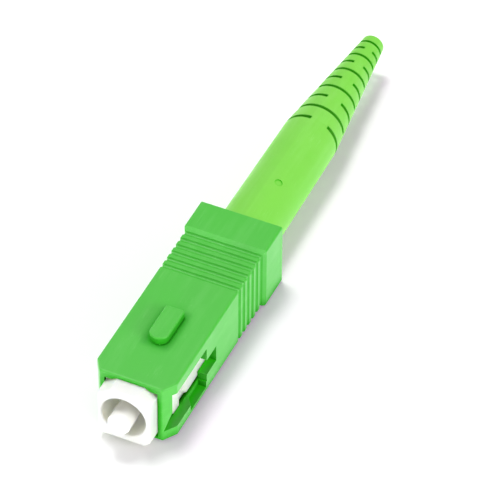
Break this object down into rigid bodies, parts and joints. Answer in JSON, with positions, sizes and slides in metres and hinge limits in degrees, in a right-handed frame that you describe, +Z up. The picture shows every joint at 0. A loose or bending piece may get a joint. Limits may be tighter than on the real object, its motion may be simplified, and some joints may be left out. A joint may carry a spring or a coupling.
{
  "type": "push-pull fibre optic plug",
  "caption": "Push-pull fibre optic plug: keyed sliding grip over a square inner frame, round angled-end ferrule, and a slotted tapering strain relief boot behind.",
  "frame": {"origin": "middle of the plug's footprint along its length and width, at the underside of the rear block it rests on", "axes": "+Y along the fibre from the ferrule's tip to the boot's end, +Z up through the key, +X to the plug's right seen from its rear"},
  "size_m": [0.0094, 0.0654, 0.0085],
  "materials": {
    "housing_plastic": "satin moulded green",
    "frame_plastic": "moulded white",
    "ferrule_ceramic": "polished white ceramic",
    "flange_metal": "turned",
    "tube_plastic": "extruded, milky",
    "spring_steel": "drawn wire",
    "ring_metal": "turned and plated",
    "sleeve_metal": "crimped, satin",
    "boot_rubber": "soft moulded lime green"
  },
  "bodies": {
    "core": {"plug_frame": "frame_plastic", "stop_ring": "ring_metal", "crimp_sleeve": "sleeve_metal", "boot": "boot_rubber", "spring": "spring_steel"},
    "grip": {"outer_housing": "housing_plastic"},
    "ferrule_unit": {"ferrule": "ferrule_ceramic", "ferrule_flange": "flange_metal", "guide_tube": "tube_plastic"}
  },
  "joints": [
    {"name": "housing_slide", "type": "slide", "parent": "core", "child": "grip", "axis": [0, 1, 0], "range_m": [0, 0.002]},
    {"name": "ferrule_slide", "type": "slide", "parent": "core", "child": "ferrule_unit", "axis": [0, 1, 0], "range_m": [0, 0.0009], "stiffness_N_per_m": 1200, "springref_m": -0.006, "deforming": ["spring"]}
  ]
}
